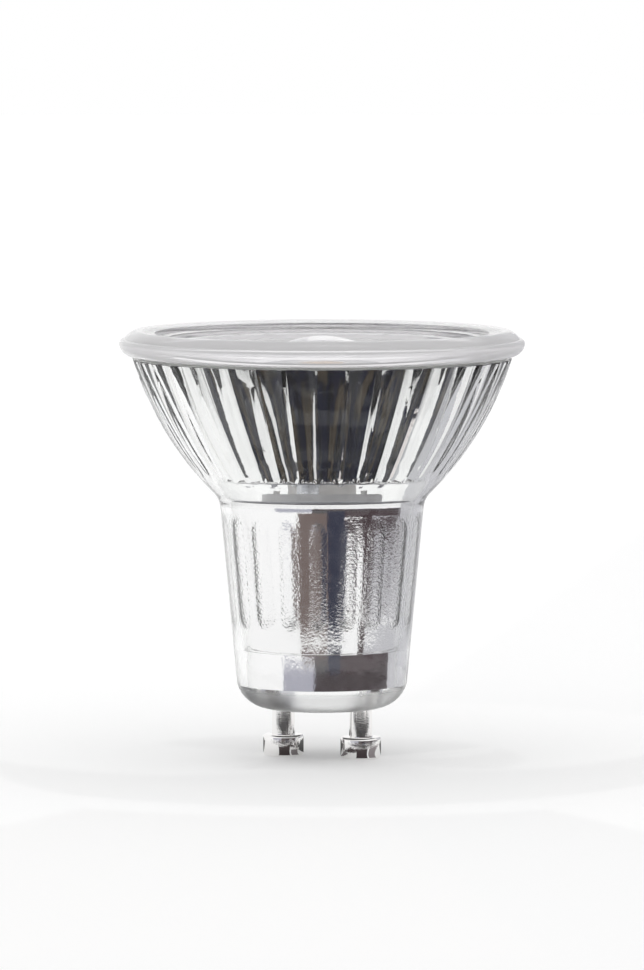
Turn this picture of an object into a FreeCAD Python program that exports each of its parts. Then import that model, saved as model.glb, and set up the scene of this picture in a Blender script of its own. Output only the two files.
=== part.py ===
import FreeCAD, Part
import math
import os
import Sketcher
from FreeCAD import Placement, Rotation, Vector

# Spotlight bulb with a two-pin twist base: a fluted pressed-glass body, a clear lens with a rolled
# rim, a bright reflector, and an aluminium sleeve in the neck that carries the light source and
# hides the driver. Millimetres. The origin lies between the feet of the two pins, on the plane of
# their ends; +Z runs along the axis of the bulb to the lens, and the pins stand along X.

# Driving sizes.
SIZES = {
    # contact pins
    "pin_spacing": 10.0,
    "pin_drop": 6.2,
    "foot_radius": 2.5,
    "foot_height": 2.65,
    "foot_edge": 0.3,
    "shank_radius": 1.45,
    "spigot_radius": 1.15,
    "pin_hole_clearance": 0.05,
    "seat_depth": 2.0,
    "rivet_radius": 2.0,
    "rivet_height": 0.6,
    "washer_radius": 2.3,
    "washer_thickness": 0.4,
    # glass body
    "glass_rise": 43.2,
    "floor_thickness": 3.0,
    "neck_foot_radius": 10.5,
    "corner_width": 3.8,
    "corner_rise": 3.0,
    "corner_radius": 4.0,
    "neck_top_radius": 12.65,
    "neck_rise": 25.9,
    "neck_wall": 1.3,
    "bowl_drop": 0.5,
    "skirt_rise": 4.4,
    "skirt_step": 0.35,
    "mouth_radius": 23.4,
    "mouth_wall": 1.7,
    "bowl_curve": 40.0,
    "blend_radius": 3.0,
    "flute_count": 36,
    "flute_radius": 3.4,
    "flute_depth": 0.63,
    "flute_start": 3.0,
    "flute_foot_depth": 0.24,
    "lobe_count": 18,
    "lobe_radius": 2.3,
    "lobe_depth": 0.35,
    "lobe_start": 2.4,
    "lobe_length": 14.7,
    # lens and its seal
    "seal_thickness": 0.3,
    "seal_inset": 0.3,
    "lens_edge": 0.05,
    "bead_width": 1.55,
    "bead_rise": 1.6,
    "bead_curve": 1.7,
    "ridge_inset": 0.65,
    "ridge_rise": 0.5,
    "crest_inset": 1.35,
    "crest_rise": 1.05,
    "crest_curve": 2.2,
    "crest_land": 0.6,
    "ring_pitch": 1.75,
    "ring_fall": 0.3,
    "ring_step": 0.3,
    "recess_depth": 0.5,
    "dome_radius": 5.6,
    "dome_rise": 1.3,
    "spigot_height": 1.4,
    "spigot_wall": 1.1,
    "fit_clearance": 0.3,
    # reflector
    "reflector_wall": 0.4,
    "reflector_gap": 0.3,
    "reflector_lift": 2.3,
    "lip_width": 1.0,
    # aluminium sleeve and light source
    "sleeve_clearance": 0.25,
    "sleeve_wall": 0.6,
    "platform_thickness": 1.2,
    "platform_lift": 0.9,
    "pad_thickness": 0.3,
    "led_board_radius": 7.4,
    "led_board_thickness": 1.0,
    "emitter_radius": 4.2,
    "emitter_height": 0.9,
    "dam_width": 0.6,
    "phosphor_inset": 0.15,
    "cavity_depth": 0.6,
    "screw_offset": 5.8,
    "screw_radius": 0.9,
    "screw_head_radius": 1.35,
    "screw_head_height": 1.0,
    "screw_tail": 0.8,
    "screw_clearance": 0.1,
    "lead_offset": 5.6,
    "lead_radius": 0.4,
    "lead_clearance": 0.2,
    "lead_stub": 0.5,
    "lead_overlap": 4.0,
    "pin_lead_overlap": 1.2,
    "pin_lead_margin": 0.4,
    # insulating liner and its cap
    "liner_clearance": 0.2,
    "liner_wall": 0.7,
    "cap_gap": 1.0,
    "liner_floor_gap": 0.4,
    "liner_floor": 0.8,
    "cap_thickness": 0.8,
    "rail_width": 1.0,
    "rail_depth": 1.3,
    # driver
    "board_thickness": 1.0,
    "board_gap": 0.3,
    "board_margin": 0.5,
    "slot_clearance": 0.1,
    "can_radius": 2.5,
    "can_length": 8.5,
    "can_offset": 3.2,
    "can_edge": 0.4,
    "film_width": 4.6,
    "film_depth": 3.0,
    "film_length": 6.5,
    "film_offset": 3.4,
    "drum_radius": 2.5,
    "drum_waist": 1.5,
    "drum_flange": 0.8,
    "drum_height": 4.4,
    "drum_margin": 0.3,
    "winding_radius": 2.2,
    "bridge_width": 4.7,
    "bridge_depth": 1.5,
    "bridge_length": 3.9,
    "bridge_offset": 2.6,
    "chip_width": 4.9,
    "chip_depth": 1.5,
    "chip_length": 3.9,
    "chip_offset": 2.9,
    "leg_width": 0.4,
    "leg_reach": 0.8,
    "leg_thickness": 0.2,
    "leg_pitch": 1.27,
    "fuse_radius": 1.1,
    "fuse_length": 5.0,
    "fuse_offset": 2.9,
    "resistor_width": 1.6,
    "resistor_gap": 0.8,
    "resistor_depth": 0.5,
    "resistor_length": 0.8,
    "resistor_pitch": 1.6,
}

# Sizes and places that follow from them. Heights are above the end plane of the pins.
PLACES = {
    "pin_x": "sizes.pin_spacing / 2",
    "pin_hole_radius": "sizes.spigot_radius + sizes.pin_hole_clearance",
    "pin_seat_radius": "sizes.shank_radius + sizes.pin_hole_clearance",
    "pin_seat": "sizes.pin_drop + sizes.seat_depth",
    "foot_face_radius": "sizes.foot_radius - sizes.foot_edge",
    "foot_shoulder": "sizes.foot_height - sizes.foot_edge",
    "floor_top": "sizes.pin_drop + sizes.floor_thickness",
    "washer_top": "floor_top + sizes.washer_thickness",
    "rivet_top": "washer_top + sizes.rivet_height",
    # glass body
    "base_flat_radius": "sizes.neck_foot_radius - sizes.corner_width",
    "corner_top": "sizes.pin_drop + sizes.corner_rise",
    "neck_top": "sizes.pin_drop + sizes.neck_rise",
    "mouth_top": "sizes.pin_drop + sizes.glass_rise",
    "bore_foot_radius": "sizes.neck_foot_radius - sizes.neck_wall",
    "skirt_top": "floor_top + sizes.skirt_rise",
    "bore_step_radius": "bore_foot_radius + sizes.skirt_step",
    "bore_top_radius": "sizes.neck_top_radius - sizes.neck_wall",
    "bore_top": "neck_top + sizes.bowl_drop",
    "bore_mouth_radius": "sizes.mouth_radius - sizes.mouth_wall",
    # centre of the outer bowl arc
    "bowl_run": "sizes.mouth_radius - sizes.neck_top_radius",
    "bowl_climb": "mouth_top - neck_top",
    "bowl_chord": "sqrt(bowl_run ^ 2 + bowl_climb ^ 2)",
    "bowl_apothem": "sqrt(sizes.bowl_curve ^ 2 - bowl_chord ^ 2 / 4)",
    "bowl_centre_radius": "(sizes.mouth_radius + sizes.neck_top_radius) / 2"
                          " - bowl_climb / bowl_chord * bowl_apothem",
    "bowl_centre_height": "(mouth_top + neck_top) / 2 + bowl_run / bowl_chord * bowl_apothem",
    # the plunger's straight taper inside the bowl
    "bore_slope": "(bore_mouth_radius - bore_top_radius) / (mouth_top - bore_top)",
    # a flute's root: an arc that starts just above the neck and is deepest at the mouth
    "flute_foot": "neck_top + sizes.flute_start",
    "flute_foot_radius": "bowl_centre_radius - sizes.flute_foot_depth"
                         " + sqrt(sizes.bowl_curve ^ 2 - (bowl_centre_height - flute_foot) ^ 2)",
    "flute_head_radius": "sizes.mouth_radius - sizes.flute_depth",
    "flute_run": "flute_head_radius - flute_foot_radius",
    "flute_climb": "mouth_top - flute_foot",
    "flute_chord": "sqrt(flute_run ^ 2 + flute_climb ^ 2)",
    "flute_apothem": "sqrt(sizes.bowl_curve ^ 2 - flute_chord ^ 2 / 4)",
    "flute_centre_radius": "(flute_head_radius + flute_foot_radius) / 2"
                           " - flute_climb / flute_chord * flute_apothem",
    "flute_centre_height": "(mouth_top + flute_foot) / 2"
                           " + flute_run / flute_chord * flute_apothem",
    "flute_low": "asin((flute_centre_height - flute_foot) / sizes.bowl_curve) / 1 deg",
    "flute_high": "asin((flute_centre_height - mouth_top) / sizes.bowl_curve) / 1 deg - 4",
    "flute_turn": "(flute_low + flute_high) / 2",
    "flute_span": "flute_low - flute_high",
    "flute_reach": "sizes.bowl_curve + sizes.flute_radius",
    # a lobe of the neck's bore: a straight round hollow that leans with the bore
    "bore_lean": "atan((bore_top_radius - bore_step_radius) / (bore_top - skirt_top)) / 1 deg",
    "lobe_foot": "skirt_top + sizes.lobe_start",
    "lobe_foot_radius": "bore_step_radius + sizes.lobe_start * tan(bore_lean * 1 deg)",
    "lobe_axis_radius": "lobe_foot_radius + sizes.lobe_depth - sizes.lobe_radius",
    # lens
    "lens_base": "mouth_top + sizes.seal_thickness",
    "lens_edge_radius": "sizes.mouth_radius + sizes.lens_edge",
    "bead_radius": "lens_edge_radius + sizes.bead_width",
    "bead_height": "lens_base + sizes.bead_rise",
    "ridge_radius": "bead_radius - sizes.ridge_inset",
    "ridge_height": "bead_height + sizes.ridge_rise",
    "crest_radius": "ridge_radius - sizes.crest_inset",
    "crest_height": "ridge_height + sizes.crest_rise",
    "ring_one_radius": "crest_radius - sizes.crest_land - sizes.ring_pitch",
    "ring_two_radius": "ring_one_radius - sizes.ring_pitch",
    "recess_radius": "ring_two_radius - sizes.ring_pitch",
    "ring_one_top": "crest_height - sizes.ring_fall",
    "ring_one_foot": "ring_one_top - sizes.ring_step",
    "ring_two_top": "ring_one_foot - sizes.ring_fall",
    "ring_two_foot": "ring_two_top - sizes.ring_step",
    "recess_edge": "ring_two_foot - sizes.ring_fall",
    "recess_floor": "recess_edge - sizes.recess_depth",
    "dome_top": "recess_floor + sizes.dome_rise",
    "dome_curve": "(sizes.dome_radius ^ 2 + sizes.dome_rise ^ 2) / (2 * sizes.dome_rise)",
    "spigot_foot": "lens_base - sizes.spigot_height",
    "spigot_outer": "bore_mouth_radius - (mouth_top - spigot_foot) * bore_slope"
                    " - sizes.fit_clearance",
    "spigot_inner": "spigot_outer - sizes.spigot_wall",
    "seal_inner": "bore_mouth_radius + sizes.seal_inset",
    "seal_outer": "flute_head_radius - sizes.seal_inset / 2",
    # sleeve
    "platform_top": "neck_top + sizes.platform_lift",
    "platform_under": "platform_top - sizes.platform_thickness",
    "platform_radius": "bore_top_radius - sizes.sleeve_clearance",
    "sleeve_skirt_radius": "bore_foot_radius - sizes.sleeve_clearance",
    "sleeve_bore_foot": "sleeve_skirt_radius - sizes.sleeve_wall",
    "sleeve_bore_top": "platform_radius - sizes.sleeve_wall",
    # reflector
    "reflector_foot": "platform_top + sizes.reflector_lift",
    "lip_top": "reflector_foot + sizes.reflector_wall",
    "reflector_foot_outer": "bore_top_radius + (reflector_foot - bore_top) * bore_slope"
                            " - sizes.reflector_gap",
    "lip_inner": "reflector_foot_outer - sizes.lip_width",
    "reflector_rim_outer": "reflector_foot_outer + (spigot_foot - reflector_foot) * bore_slope",
    "reflector_rim_inner": "reflector_rim_outer - sizes.reflector_wall",
    "reflector_foot_inner": "reflector_rim_inner - (spigot_foot - lip_top) * bore_slope",
    # light source
    "led_board_foot": "platform_top + sizes.pad_thickness",
    "led_board_top": "led_board_foot + sizes.led_board_thickness",
    "emitter_top": "led_board_top + sizes.emitter_height",
    "cavity_radius": "sizes.emitter_radius - sizes.dam_width",
    "cavity_floor": "emitter_top - sizes.cavity_depth",
    "phosphor_height": "sizes.cavity_depth - sizes.phosphor_inset",
    "screw_hole_radius": "sizes.screw_radius + sizes.screw_clearance",
    "screw_length": "led_board_top - platform_under + sizes.screw_tail",
    "screw_foot": "platform_under - sizes.screw_tail",
    "lead_hole_radius": "sizes.lead_radius + sizes.lead_clearance",
    # liner
    "liner_outer": "sleeve_bore_foot - sizes.liner_clearance",
    "liner_inner": "liner_outer - sizes.liner_wall",
    "cap_top": "screw_foot - sizes.cap_gap",
    "liner_top": "cap_top - sizes.cap_thickness",
    "liner_floor_under": "rivet_top + sizes.liner_floor_gap",
    "liner_floor_top": "liner_floor_under + sizes.liner_floor",
    # driver board
    "board_half": "sizes.board_thickness / 2",
    "board_half_width": "liner_inner - sizes.board_gap",
    "board_width": "2 * board_half_width",
    "board_foot": "liner_floor_top",
    "board_top": "liner_top - sizes.board_margin",
    "board_height": "board_top - board_foot",
    "rail_half_gap": "board_half + sizes.slot_clearance",
    "rail_inner": "liner_inner - sizes.rail_depth",
    "rail_height": "liner_top - liner_floor_top",
    "lead_y": "board_half + sizes.lead_radius",
    "led_lead_foot": "board_top - sizes.lead_overlap",
    "led_lead_top": "led_board_top + sizes.lead_stub",
    "led_lead_length": "led_lead_top - led_lead_foot",
    "pin_lead_length": "board_foot + sizes.pin_lead_overlap - rivet_top",
    # parts on the driver board
    "can_y": "board_half + sizes.can_radius",
    "can_top": "board_top - sizes.board_margin",
    "can_foot": "can_top - sizes.can_length",
    "can_shoulder": "can_top - sizes.can_edge",
    "can_top_radius": "sizes.can_radius - sizes.can_edge",
    "film_foot": "board_top - sizes.film_length - sizes.board_margin",
    "fuse_y": "board_half + sizes.fuse_radius",
    "fuse_foot": "board_foot + sizes.board_margin",
    "drum_z": "board_top - sizes.drum_margin - sizes.drum_radius",
    "drum_far": "board_half + sizes.drum_height",
    "drum_near_flange": "board_half + sizes.drum_flange",
    "drum_far_flange": "drum_far - sizes.drum_flange",
    "bridge_y": "board_half + sizes.bridge_depth",
    "pin_lead_top": "board_foot + sizes.pin_lead_overlap",
    "bridge_foot": "pin_lead_top + sizes.pin_lead_margin",
    "chip_y": "board_half + sizes.chip_depth",
    "chip_foot": "pin_lead_top + sizes.pin_lead_margin + sizes.leg_reach",
}

doc = FreeCAD.newDocument("spotlight_bulb")
sizes = doc.addObject("Spreadsheet::Sheet", "sizes")
places = doc.addObject("Spreadsheet::Sheet", "places")


def fill(sheet, cells, prefix):
    """Give each named size a row: its name, its value and an alias on the value."""
    for row, (name, content) in enumerate(cells.items(), 1):
        sheet.set(f"A{row}", name)
        sheet.set(f"B{row}", prefix + str(content))
        sheet.setAlias(f"B{row}", name)


fill(sizes, SIZES, "")
fill(places, PLACES, "=")
doc.recompute()


def link(name):
    """The expression that reads a named size."""
    return f"sizes.{name}" if name in SIZES else f"places.{name}"


def size(name):
    """The present value of a named size."""
    return float(sizes.get(name) if name in SIZES else places.get(name))


def origin_feature(body, role):
    return next(item for item in body.Origin.OriginFeatures if item.Role == role)


def new_body(name):
    body = doc.addObject("PartDesign::Body", name)
    body.Label = name
    return body


def new_sketch(body, name, role):
    sketch = body.newObject("Sketcher::SketchObject", name)
    sketch.AttachmentSupport = [(origin_feature(body, role), "")]
    sketch.MapMode = "FlatFace"
    return sketch


def arc_between(start, end, radius, bulge):
    """A sketch arc from start to end; a bulge of 1 keeps its centre on the left of the way."""
    along = end - start
    half = along.Length / 2
    left = Vector(-along.y, along.x, 0).normalize() * bulge
    centre = (start + end) / 2 + left * math.sqrt(radius ** 2 - half ** 2)
    first = math.atan2(start.y - centre.y, start.x - centre.x)
    last = math.atan2(end.y - centre.y, end.x - centre.x)
    circle = Part.Circle(centre, Vector(0, 0, 1), radius)
    turn = (first, last) if bulge > 0 else (last, first)
    return Part.ArcOfCircle(circle, *turn)


def pin_point(sketch, edge, end, across, up):
    """Hold one end of an edge at two named distances from the sketch's axes."""
    for kind, name, axis in (("DistanceX", across, -2), ("DistanceY", up, -1)):
        if name is None:
            sketch.addConstraint(Sketcher.Constraint("PointOnObject", edge, end, axis))
            continue
        index = sketch.addConstraint(Sketcher.Constraint(kind, edge, end, size(name)))
        sketch.setExpression(f"Constraints[{index}]", link(name))


def outline(sketch, corners, arcs=None):
    """Draw a closed outline through named corners; arcs maps a corner to the arc that leaves it."""
    arcs = arcs or {}
    points = [
        Vector(0 if across is None else size(across), 0 if up is None else size(up), 0)
        for across, up in corners
    ]
    starts = []
    for index, point in enumerate(points):
        after = points[(index + 1) % len(points)]
        if index in arcs:
            radius, bulge = arcs[index]
            sketch.addGeometry(arc_between(point, after, size(radius), bulge), False)
            starts.append(1 if bulge > 0 else 2)
        else:
            sketch.addGeometry(Part.LineSegment(point, after), False)
            starts.append(1)
    for index, (across, up) in enumerate(corners):
        before = index - 1 if index else len(corners) - 1
        sketch.addConstraint(
            Sketcher.Constraint("Coincident", before, 3 - starts[before], index, starts[index])
        )
        pin_point(sketch, index, starts[index], across, up)
    for index, (radius, _) in arcs.items():
        number = sketch.addConstraint(Sketcher.Constraint("Radius", index, size(radius)))
        sketch.setExpression(f"Constraints[{number}]", link(radius))


def circle_at(sketch, across, up, radius, sides=(1, 1)):
    """Draw a circle at named distances from the sketch's axes; sides holds the sign of each."""
    signs = {"DistanceX": sides[0], "DistanceY": sides[1]}
    x = 0 if across is None else sides[0] * size(across)
    y = 0 if up is None else sides[1] * size(up)
    edge = sketch.addGeometry(Part.Circle(Vector(x, y, 0), Vector(0, 0, 1), size(radius)), False)
    for kind, name, axis in (("DistanceX", across, -2), ("DistanceY", up, -1)):
        if name is None:
            sketch.addConstraint(Sketcher.Constraint("PointOnObject", edge, 3, axis))
            continue
        value = signs[kind] * size(name)
        index = sketch.addConstraint(Sketcher.Constraint(kind, edge, 3, value))
        sketch.setExpression(f"Constraints[{index}]", f"{signs[kind]} * {link(name)}")
    index = sketch.addConstraint(Sketcher.Constraint("Radius", edge, size(radius)))
    sketch.setExpression(f"Constraints[{index}]", link(radius))


def revolve(body, name, corners, arcs=None):
    """Turn a closed outline in the XZ plane about the Z axis."""
    sketch = new_sketch(body, f"{name}_section", "XZ_Plane")
    outline(sketch, corners, arcs)
    turned = body.newObject("PartDesign::Revolution", name)
    turned.Profile = sketch
    turned.ReferenceAxis = (sketch, ["V_Axis"])
    turned.Angle = 360
    return turned


def turned_body(name, corners, arcs=None):
    body = new_body(name)
    revolve(body, f"{name}_turned", corners, arcs)
    return body


def cut_circles(body, name, circles):
    """Cut round holes right through along Z; each circle is (across, up, radius, sides)."""
    sketch = new_sketch(body, f"{name}_circles", "XY_Plane")
    for circle in circles:
        circle_at(sketch, *circle)
    pocket = body.newObject("PartDesign::Pocket", name)
    pocket.Profile = sketch
    pocket.Type = 1
    pocket.Midplane = True
    return pocket


def swept_cutter(body, name, reach, radius, centre, turn, span):
    """Cut with a round tool that swings about a level axis at centre, in the XZ plane."""
    sketch = new_sketch(body, f"{name}_section", "XY_Plane")
    sketch.AttachmentOffset = Placement(
        Vector(size(centre[0]), 0, size(centre[1])), Rotation(Vector(0, 1, 0), size(turn))
    )
    sketch.setExpression("AttachmentOffset.Base.x", link(centre[0]))
    sketch.setExpression("AttachmentOffset.Base.z", link(centre[1]))
    sketch.setExpression("AttachmentOffset.Rotation.Angle", link(turn))
    circle_at(sketch, reach, None, radius)
    groove = body.newObject("PartDesign::Groove", name)
    groove.Profile = sketch
    groove.ReferenceAxis = (sketch, ["V_Axis"])
    groove.Midplane = True
    groove.Angle = size(span)
    groove.setExpression("Angle", link(span))
    return groove


def ring_of(body, name, feature, count):
    """Repeat a feature evenly about the Z axis."""
    pattern = body.newObject("PartDesign::PolarPattern", name)
    pattern.Originals = [feature]
    pattern.Axis = (origin_feature(body, "Z_Axis"), [""])
    pattern.Angle = 360
    pattern.Occurrences = int(size(count))
    pattern.setExpression("Occurrences", link(count))
    body.Tip = pattern
    return pattern


def place(item, x=None, y=None, z=None):
    """Bind an object's position to expressions."""
    for axis, expression in (("x", x), ("y", y), ("z", z)):
        if expression is not None:
            item.setExpression(f"Placement.Base.{axis}", expression)


def box(name, width, depth, height, x, y, z):
    """A block; width, depth and height run along X, Y and Z, and all six are expressions."""
    block = doc.addObject("Part::Box", name)
    block.Label = name
    block.setExpression("Length", width)
    block.setExpression("Width", depth)
    block.setExpression("Height", height)
    place(block, x, y, z)
    return block


def rod(name, radius, length, x, y, z, turn=None):
    """A cylinder along Z from its placement, or along another axis after a turn."""
    bar = doc.addObject("Part::Cylinder", name)
    bar.Label = name
    bar.setExpression("Radius", radius)
    bar.setExpression("Height", length)
    if turn:
        bar.Placement = Placement(Vector(), turn)
    place(bar, x, y, z)
    return bar


def group(name, members):
    """Separate solids that share one node."""
    together = doc.addObject("Part::Compound", name)
    together.Label = name
    together.Links = members
    return together


def fused(name, members):
    whole = doc.addObject("Part::MultiFuse", name)
    whole.Label = name
    whole.Shapes = members
    return whole


def glass_body():
    """Pressed glass: a thick floor with stepped pin holes, a lobed neck and a fluted bowl."""
    body = new_body("glass_body")
    turned = revolve(
        body,
        "glass_turned",
        [
            (None, "pin_drop"),
            ("base_flat_radius", "pin_drop"),
            ("neck_foot_radius", "corner_top"),
            ("neck_top_radius", "neck_top"),
            ("mouth_radius", "mouth_top"),
            ("bore_mouth_radius", "mouth_top"),
            ("bore_top_radius", "bore_top"),
            ("bore_step_radius", "skirt_top"),
            ("bore_foot_radius", "skirt_top"),
            ("bore_foot_radius", "floor_top"),
            (None, "floor_top"),
        ],
        {1: ("corner_radius", 1), 3: ("bowl_curve", 1)},
    )
    doc.recompute()
    junction = next(
        f"Edge{number}"
        for number, edge in enumerate(turned.Shape.Edges, 1)
        if abs(edge.BoundBox.ZMin - size("neck_top")) < 0.001
        and abs(edge.BoundBox.ZMax - size("neck_top")) < 0.001
        and abs(edge.BoundBox.XMax - size("neck_top_radius")) < 0.001
    )
    blend = body.newObject("PartDesign::Fillet", "junction_blend")
    blend.Base = (turned, [junction])
    blend.Radius = size("blend_radius")
    blend.setExpression("Radius", link("blend_radius"))
    centre = ("flute_centre_radius", "flute_centre_height")
    flute = swept_cutter(body, "flute", "flute_reach", "flute_radius", centre, "flute_turn", "flute_span")
    ring_of(body, "flutes", flute, "flute_count")
    lobe = body.newObject("PartDesign::SubtractiveCylinder", "lobe")
    lobe.setExpression("Radius", "sizes.lobe_radius")
    lobe.setExpression("Height", "sizes.lobe_length")
    lobe.Placement = Placement(Vector(), Rotation(Vector(0, 1, 0), size("bore_lean")))
    lobe.setExpression("Placement.Rotation.Angle", "places.bore_lean")
    place(lobe, "places.lobe_axis_radius", "0", "places.lobe_foot")
    ring_of(body, "lobes", lobe, "lobe_count")
    cut_circles(
        body,
        "pin_holes",
        [("pin_x", None, "pin_hole_radius", (side, 1)) for side in (-1, 1)],
    )
    seats = cut_circles(
        body,
        "pin_seats",
        [("pin_x", None, "pin_seat_radius", (side, 1)) for side in (-1, 1)],
    )
    seats.Profile[0].setExpression("AttachmentOffset.Base.z", "sizes.pin_drop")
    seats.Type = 0
    seats.setExpression("Length", "2 * sizes.seat_depth")
    return body


def led_holes():
    """Two screw holes across Y and two lead holes in line with the front of the driver board."""
    screws = [(None, "screw_offset", "screw_hole_radius", (1, side)) for side in (-1, 1)]
    leads = [("lead_offset", "lead_y", "lead_hole_radius", (side, -1)) for side in (-1, 1)]
    return screws + leads


def front_lens():
    """Clear moulded lens: a rolled rim, three stepped rings, a sunk face and a central dome."""
    return turned_body(
        "front_lens",
        [
            (None, "lens_base"),
            ("spigot_inner", "lens_base"),
            ("spigot_inner", "spigot_foot"),
            ("spigot_outer", "spigot_foot"),
            ("spigot_outer", "lens_base"),
            ("lens_edge_radius", "lens_base"),
            ("bead_radius", "bead_height"),
            ("ridge_radius", "ridge_height"),
            ("crest_radius", "crest_height"),
            ("ring_one_radius", "ring_one_top"),
            ("ring_one_radius", "ring_one_foot"),
            ("ring_two_radius", "ring_two_top"),
            ("ring_two_radius", "ring_two_foot"),
            ("recess_radius", "recess_edge"),
            ("recess_radius", "recess_floor"),
            ("dome_radius", "recess_floor"),
            (None, "dome_top"),
        ],
        {5: ("bead_curve", 1), 7: ("crest_curve", 1), 15: ("dome_curve", 1)},
    )


def lens_seal():
    """Silicone bead between the glass mouth and the lens."""
    return turned_body(
        "lens_seal",
        [
            ("seal_inner", "mouth_top"),
            ("seal_outer", "mouth_top"),
            ("seal_outer", "lens_base"),
            ("seal_inner", "lens_base"),
        ],
    )


def reflector_bowl():
    """Spun bright aluminium: a cone that lies in the glass under the lens, its foot turned in."""
    return turned_body(
        "reflector_bowl",
        [
            ("lip_inner", "reflector_foot"),
            ("reflector_foot_outer", "reflector_foot"),
            ("reflector_rim_outer", "spigot_foot"),
            ("reflector_rim_inner", "spigot_foot"),
            ("reflector_foot_inner", "lip_top"),
            ("lip_inner", "lip_top"),
        ],
    )


def heat_sink_sleeve():
    """Drawn aluminium cup, mouth down, whose closed end is the platform of the light source."""
    body = turned_body(
        "heat_sink_sleeve",
        [
            (None, "platform_under"),
            ("sleeve_bore_top", "platform_under"),
            ("sleeve_bore_foot", "skirt_top"),
            ("sleeve_bore_foot", "floor_top"),
            ("sleeve_skirt_radius", "floor_top"),
            ("sleeve_skirt_radius", "skirt_top"),
            ("platform_radius", "platform_top"),
            (None, "platform_top"),
        ],
    )
    cut_circles(body, "platform_holes", led_holes())
    return body


def disc(name, radius, foot, top):
    return turned_body(name, [(None, foot), (radius, foot), (radius, top), (None, top)])


def drilled_disc(name, radius, foot, top):
    """A round plate with the light source's screw and lead holes."""
    body = disc(name, radius, foot, top)
    cut_circles(body, f"{name}_holes", led_holes())
    return body


def led_emitter():
    """Ceramic carrier of the chips, with a raised dam round the phosphor."""
    return turned_body(
        "led_emitter",
        [
            (None, "led_board_top"),
            ("emitter_radius", "led_board_top"),
            ("emitter_radius", "emitter_top"),
            ("cavity_radius", "emitter_top"),
            ("cavity_radius", "cavity_floor"),
            (None, "cavity_floor"),
        ],
    )


def led_board_screws():
    """Two pan-head screws that clamp the board and its pad to the platform."""
    screws = []
    for side, word in ((-1, "front"), (1, "rear")):
        y = f"{side} * sizes.screw_offset"
        shank = rod(
            f"screw_shank_{word}", "sizes.screw_radius", "places.screw_length", "0", y,
            "places.screw_foot",
        )
        head = rod(
            f"screw_head_{word}", "sizes.screw_head_radius", "sizes.screw_head_height", "0", y,
            "places.led_board_top",
        )
        screws.append(fused(f"screw_{word}", [shank, head]))
    return group("led_board_screws", screws)


def insulating_liner():
    """Plastic tube with an inner floor, lead holes and two grooved rails for the driver board."""
    body = turned_body(
        "insulating_liner",
        [
            ("liner_inner", "floor_top"),
            ("liner_outer", "floor_top"),
            ("liner_outer", "liner_top"),
            ("liner_inner", "liner_top"),
            ("liner_inner", "liner_floor_top"),
            (None, "liner_floor_top"),
            (None, "liner_floor_under"),
            ("liner_inner", "liner_floor_under"),
        ],
    )
    for side, word in ((-1, "left"), (1, "right")):
        for face, edge in ((-1, "front"), (1, "rear")):
            rail(body, f"rail_{word}_{edge}", side, face)
    sketch = new_sketch(body, "floor_lead_circles", "XY_Plane")
    for side in (-1, 1):
        sides = (side, -1)
        circle_at(sketch, "pin_x", "lead_y", "lead_hole_radius", sides)
    pocket = body.newObject("PartDesign::Pocket", "floor_lead_holes")
    pocket.Profile = sketch
    pocket.Type = 1
    pocket.Midplane = True
    return body


def rail(body, name, side, face):
    """One lip of a board groove: a bar on the liner's wall, from its inner floor to its top."""
    bar = body.newObject("PartDesign::AdditiveBox", name)
    bar.setExpression("Length", "sizes.rail_depth + sizes.liner_wall / 2")
    bar.setExpression("Width", "sizes.rail_width")
    bar.setExpression("Height", "places.rail_height")
    inner = "places.rail_inner"
    outer = "(places.rail_inner + sizes.rail_depth + sizes.liner_wall / 2)"
    near = "places.rail_half_gap"
    far = "(places.rail_half_gap + sizes.rail_width)"
    place(
        bar,
        inner if side > 0 else f"-{outer}",
        near if face > 0 else f"-{far}",
        "places.liner_floor_top",
    )
    return bar


def liner_cap():
    """Plastic disc that closes the liner under the platform, with a slot for each lead."""
    body = disc("liner_cap", "liner_outer", "liner_top", "cap_top")
    sketch = new_sketch(body, "cap_lead_circles", "XY_Plane")
    for side in (-1, 1):
        circle_at(sketch, "lead_offset", "lead_y", "lead_hole_radius", (side, -1))
    pocket = body.newObject("PartDesign::Pocket", "cap_lead_holes")
    pocket.Profile = sketch
    pocket.Type = 1
    pocket.Midplane = True
    return body


def contact_pin(name, side):
    """Nickelled pin: a thick foot, a shank seated in the floor, and a rivet head inside."""
    body = turned_body(
        name,
        [
            (None, None),
            ("foot_face_radius", None),
            ("foot_radius", "foot_edge"),
            ("foot_radius", "foot_shoulder"),
            ("foot_face_radius", "foot_height"),
            ("shank_radius", "foot_height"),
            ("shank_radius", "pin_seat"),
            ("spigot_radius", "pin_seat"),
            ("spigot_radius", "washer_top"),
            ("rivet_radius", "washer_top"),
            ("rivet_radius", "rivet_top"),
            (None, "rivet_top"),
        ],
    )
    place(body, x=f"{side} * places.pin_x")
    return body


def pin_washer(name, side):
    body = turned_body(
        name,
        [
            ("pin_hole_radius", "floor_top"),
            ("washer_radius", "floor_top"),
            ("washer_radius", "washer_top"),
            ("pin_hole_radius", "washer_top"),
        ],
    )
    place(body, x=f"{side} * places.pin_x")
    return body


def pin_lead(name, side):
    """Wire from a pin's rivet head to the foot of the driver board."""
    x = f"{side} * places.pin_x"
    return rod(
        name, "sizes.lead_radius", "places.pin_lead_length", x, "-places.lead_y",
        "places.rivet_top",
    )


def led_lead(name, side):
    """Wire from the head of the driver board through the platform to the light source's board."""
    x = f"{side} * sizes.lead_offset"
    return rod(
        name, "sizes.lead_radius", "places.led_lead_length", x, "-places.lead_y",
        "places.led_lead_foot",
    )


def driver_board():
    return box(
        "driver_board", "places.board_width", "sizes.board_thickness", "places.board_height",
        "-places.board_half_width", "-places.board_half", "places.board_foot",
    )


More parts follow.
